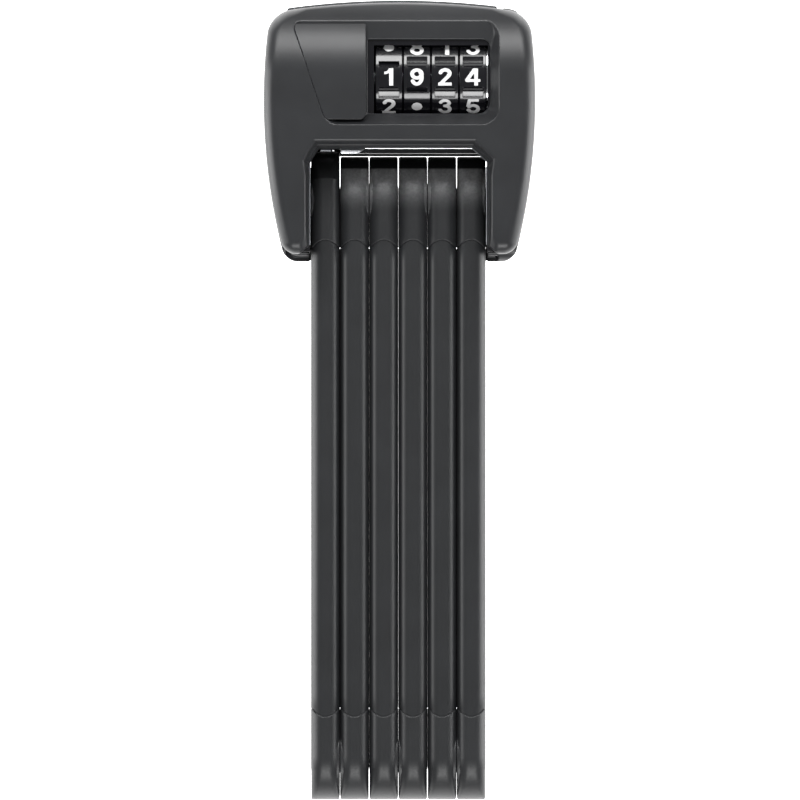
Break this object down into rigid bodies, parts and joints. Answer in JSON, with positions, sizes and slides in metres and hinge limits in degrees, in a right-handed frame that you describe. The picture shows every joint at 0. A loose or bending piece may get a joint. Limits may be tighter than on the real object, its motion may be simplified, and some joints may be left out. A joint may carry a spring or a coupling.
{
  "type": "folding bike lock",
  "caption": "Folding bike lock: flat covered steel bars riveted into a zigzag, folded into the fork of a combination lock body with number wheels and a sliding cover.",
  "frame": {"origin": "middle of the face the folded lock rests on, halfway along its length", "axes": "+Y along the bars towards the lock body, +Z out of the front with the number wheels, +X towards the side where the bolt holds the last bar"},
  "size_m": [0.0672, 0.1974, 0.036],
  "materials": {
    "cover_plastic": "fine-grained moulded charcoal plastic",
    "strip_plastic": "slightly darker moulded plastic",
    "sleeve_plastic": "smooth dark soft-touch cover",
    "cap_plastic": "speckled fine-grained moulding",
    "gloss_black": "glossy black",
    "dark_sheet": "thin black-coated sheet",
    "case_steel": "plated steel",
    "bar_steel": "hardened steel, plain",
    "rivet_steel": "turned steel",
    "spring_steel": "spring steel",
    "polished_steel": "polished steel",
    "brass": "turned brass"
  },
  "bodies": {
    "lock_body": {"rear_cover": "cover_plastic", "front_cover": "cover_plastic", "top_strip": "strip_plastic", "lock_case": "case_steel", "wheel_frame": "gloss_black", "end_washer": "polished_steel", "detent_comb": "spring_steel", "cover_screws": "case_steel", "pivot_rivet": "rivet_steel", "bolt_spring": "spring_steel", "button_spring": "spring_steel"},
    "slide_cover": {"slide_cover": "cover_plastic"},
    "cover_leaf": {"cover_leaf": "dark_sheet"},
    "bolt": {"locking_bolt": "polished_steel", "bolt_carrier": "case_steel", "wheel_spindle": "polished_steel"},
    "button": {"release_button": "strip_plastic"},
    "wheel_1": {"number_wheel_1": "gloss_black", "code_sleeve_1": "brass"},
    "wheel_2": {"number_wheel_2": "gloss_black", "code_sleeve_2": "brass"},
    "wheel_3": {"number_wheel_3": "gloss_black", "code_sleeve_3": "brass"},
    "wheel_4": {"number_wheel_4": "gloss_black", "code_sleeve_4": "brass"},
    "bar_1": {"bar_core_1": "bar_steel", "bar_sleeve_1": "sleeve_plastic", "bar_caps_1": "cap_plastic", "rivet_1": "rivet_steel"},
    "bar_2": {"bar_core_2": "bar_steel", "bar_sleeve_2": "sleeve_plastic", "bar_caps_2": "cap_plastic", "rivet_2": "rivet_steel"},
    "bar_3": {"bar_core_3": "bar_steel", "bar_sleeve_3": "sleeve_plastic", "bar_caps_3": "cap_plastic", "rivet_3": "rivet_steel"},
    "bar_4": {"bar_core_4": "bar_steel", "bar_sleeve_4": "sleeve_plastic", "bar_caps_4": "cap_plastic", "rivet_4": "rivet_steel"},
    "bar_5": {"bar_core_5": "bar_steel", "bar_sleeve_5": "sleeve_plastic", "bar_caps_5": "cap_plastic", "rivet_5": "rivet_steel"},
    "bar_6": {"bar_core_6": "bar_steel", "bar_sleeve_6": "sleeve_plastic", "bar_caps_6": "cap_plastic"}
  },
  "joints": [
    {"name": "bar_1_hinge", "type": "hinge", "parent": "lock_body", "child": "bar_1", "pos_m": [0, 0.0495, 0.0106], "axis": [-1, 0, 0], "range_deg": [-90, 90]},
    {"name": "bar_2_hinge", "type": "hinge", "parent": "bar_1", "child": "bar_2", "pos_m": [0, -0.0881, 0.0106], "axis": [1, 0, 0], "range_deg": [-180, 180]},
    {"name": "bar_3_hinge", "type": "hinge", "parent": "bar_2", "child": "bar_3", "pos_m": [0, 0.0495, 0.0106], "axis": [-1, 0, 0], "range_deg": [-90, 90]},
    {"name": "bar_4_hinge", "type": "hinge", "parent": "bar_3", "child": "bar_4", "pos_m": [0, -0.0881, 0.0106], "axis": [1, 0, 0], "range_deg": [-180, 180]},
    {"name": "bar_5_hinge", "type": "hinge", "parent": "bar_4", "child": "bar_5", "pos_m": [0, 0.0495, 0.0106], "axis": [-1, 0, 0], "range_deg": [-90, 90]},
    {"name": "bar_6_hinge", "type": "hinge", "parent": "bar_5", "child": "bar_6", "pos_m": [0, -0.0881, 0.0106], "axis": [1, 0, 0], "range_deg": [-180, 180]},
    {"name": "wheel_1_turn", "type": "hinge", "parent": "lock_body", "child": "wheel_1", "pos_m": [0, 0.0796, 0.0193], "axis": [1, 0, 0], "continuous": true},
    {"name": "wheel_2_turn", "type": "hinge", "parent": "lock_body", "child": "wheel_2", "pos_m": [0, 0.0796, 0.0193], "axis": [1, 0, 0], "continuous": true},
    {"name": "wheel_3_turn", "type": "hinge", "parent": "lock_body", "child": "wheel_3", "pos_m": [0, 0.0796, 0.0193], "axis": [1, 0, 0], "continuous": true},
    {"name": "wheel_4_turn", "type": "hinge", "parent": "lock_body", "child": "wheel_4", "pos_m": [0, 0.0796, 0.0193], "axis": [1, 0, 0], "continuous": true},
    {"name": "cover_slide", "type": "slide", "parent": "lock_body", "child": "slide_cover", "axis": [1, 0, 0], "range_m": [0, 0.0305]},
    {"name": "leaf_slide", "type": "slide", "parent": "lock_body", "child": "cover_leaf", "axis": [1, 0, 0], "range_m": [0, 0.01525]},
    {"name": "bolt_slide", "type": "slide", "parent": "lock_body", "child": "bolt", "axis": [-1, 0, 0], "range_m": [0, 0.0032], "deforming": ["bolt_spring"]},
    {"name": "button_slide", "type": "slide", "parent": "lock_body", "child": "button", "axis": [0, 1, 0], "range_m": [0, 0.00096], "deforming": ["button_spring"]}
  ],
  "couplings": [
    {"joint": "leaf_slide", "follows": "cover_slide", "ratio": 0.5},
    {"joint": "button_slide", "follows": "bolt_slide", "ratio": 0.3}
  ]
}
